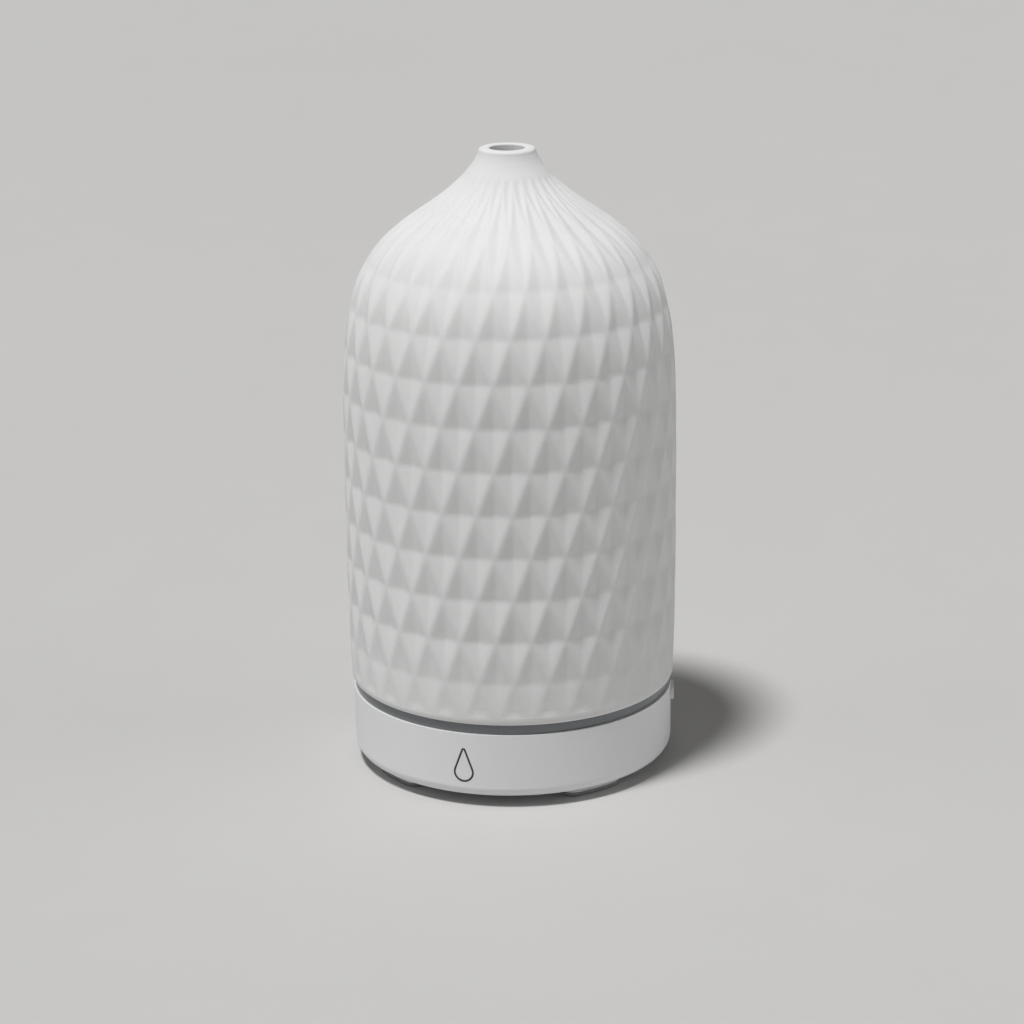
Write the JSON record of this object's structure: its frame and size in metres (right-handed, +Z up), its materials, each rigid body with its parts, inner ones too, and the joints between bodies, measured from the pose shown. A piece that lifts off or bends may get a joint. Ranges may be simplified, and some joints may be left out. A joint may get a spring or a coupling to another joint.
{
  "type": "essential oil diffuser",
  "caption": "Ultrasonic essential oil diffuser: a faceted ceramic bottle-shaped cover over a water tank on a round plastic base with a light ring.",
  "frame": {"origin": "on the floor under the middle of the base", "axes": "+Z up along the cover's axis; -Y is the front, opposite the power inlet; +X is the side of the mist button"},
  "size_m": [0.096, 0.096, 0.181],
  "materials": {
    "bisque_ceramic": "unglazed, dead matt with a fine grain",
    "white_plastic": "satin moulded",
    "smoked_plastic": "smoked, semi-gloss",
    "tank_plastic": "smooth, slightly translucent",
    "foot_rubber": "matt",
    "screw_steel": "zinc plated",
    "plate_steel": "stamped",
    "circuit_board": "solder mask over glass-epoxy",
    "lamp_body": "clear resin over a phosphor",
    "clear_silicone": "soft, translucent",
    "disc_metal": "plated ultrasonic disc",
    "black_plastic": "moulded",
    "contact_brass": "plated",
    "sink_aluminium": "extruded",
    "coil_ferrite": "ferrite drum with lacquered copper wire",
    "capacitor_sleeve": "can in a printed sleeve with no text",
    "chip_epoxy": "moulded epoxy",
    "plug_nylon": "moulded nylon",
    "red_lead": "insulated wire",
    "blue_lead": "insulated wire",
    "orange_lead": "insulated wire"
  },
  "bodies": {
    "base": {"base_housing": "white_plastic", "bottom_cover": "white_plastic", "foot_pads": "foot_rubber", "bottom_screws": "screw_steel", "light_ring": "smoked_plastic", "lamp_boards": "circuit_board", "lamps": "lamp_body", "tank": "tank_plastic", "air_duct": "tank_plastic", "tank_gasket": "clear_silicone", "tank_screws": "screw_steel", "piezo_seal": "clear_silicone", "piezo_disc": "disc_metal", "piezo_retainer": "plate_steel", "retainer_screws": "screw_steel", "fan_frame": "black_plastic", "fan_screws": "screw_steel", "control_board": "circuit_board", "board_screws": "screw_steel", "power_socket": "black_plastic", "socket_pin": "contact_brass", "heat_sink": "sink_aluminium", "drive_coils": "coil_ferrite", "filter_capacitors": "capacitor_sleeve", "control_chips": "chip_epoxy", "wire_plugs": "plug_nylon", "mist_switch_board": "circuit_board", "mist_switch": "black_plastic", "light_switch_board": "circuit_board", "light_switch": "black_plastic", "fan_lead": "red_lead", "piezo_lead": "blue_lead", "lamp_lead": "orange_lead"},
    "fan_wheel": {"fan_rotor": "black_plastic"},
    "mist_key": {"mist_button": "white_plastic"},
    "light_key": {"light_button": "white_plastic"},
    "lid": {"inner_lid": "tank_plastic"},
    "cover": {"ceramic_cover": "bisque_ceramic"}
  },
  "joints": [
    {"name": "inner_lid_lift", "type": "slide", "parent": "base", "child": "lid", "axis": [0, 0, 1], "range_m": [0, 0.06]},
    {"name": "cover_lift", "type": "slide", "parent": "lid", "child": "cover", "axis": [0, 0, 1], "range_m": [0, 0.13]},
    {"name": "mist_press", "type": "slide", "parent": "base", "child": "mist_key", "axis": [-0.9659, -0.2588, 0], "range_m": [0, 0.0008], "stiffness_N_per_m": 600, "springref_m": -0.0005},
    {"name": "light_press", "type": "slide", "parent": "base", "child": "light_key", "axis": [0.9659, -0.2588, 0], "range_m": [0, 0.0008], "stiffness_N_per_m": 600, "springref_m": -0.0005},
    {"name": "fan_spin", "type": "hinge", "parent": "base", "child": "fan_wheel", "pos_m": [0, -0.0208, 0.013], "axis": [0, 0, 1], "continuous": true}
  ]
}
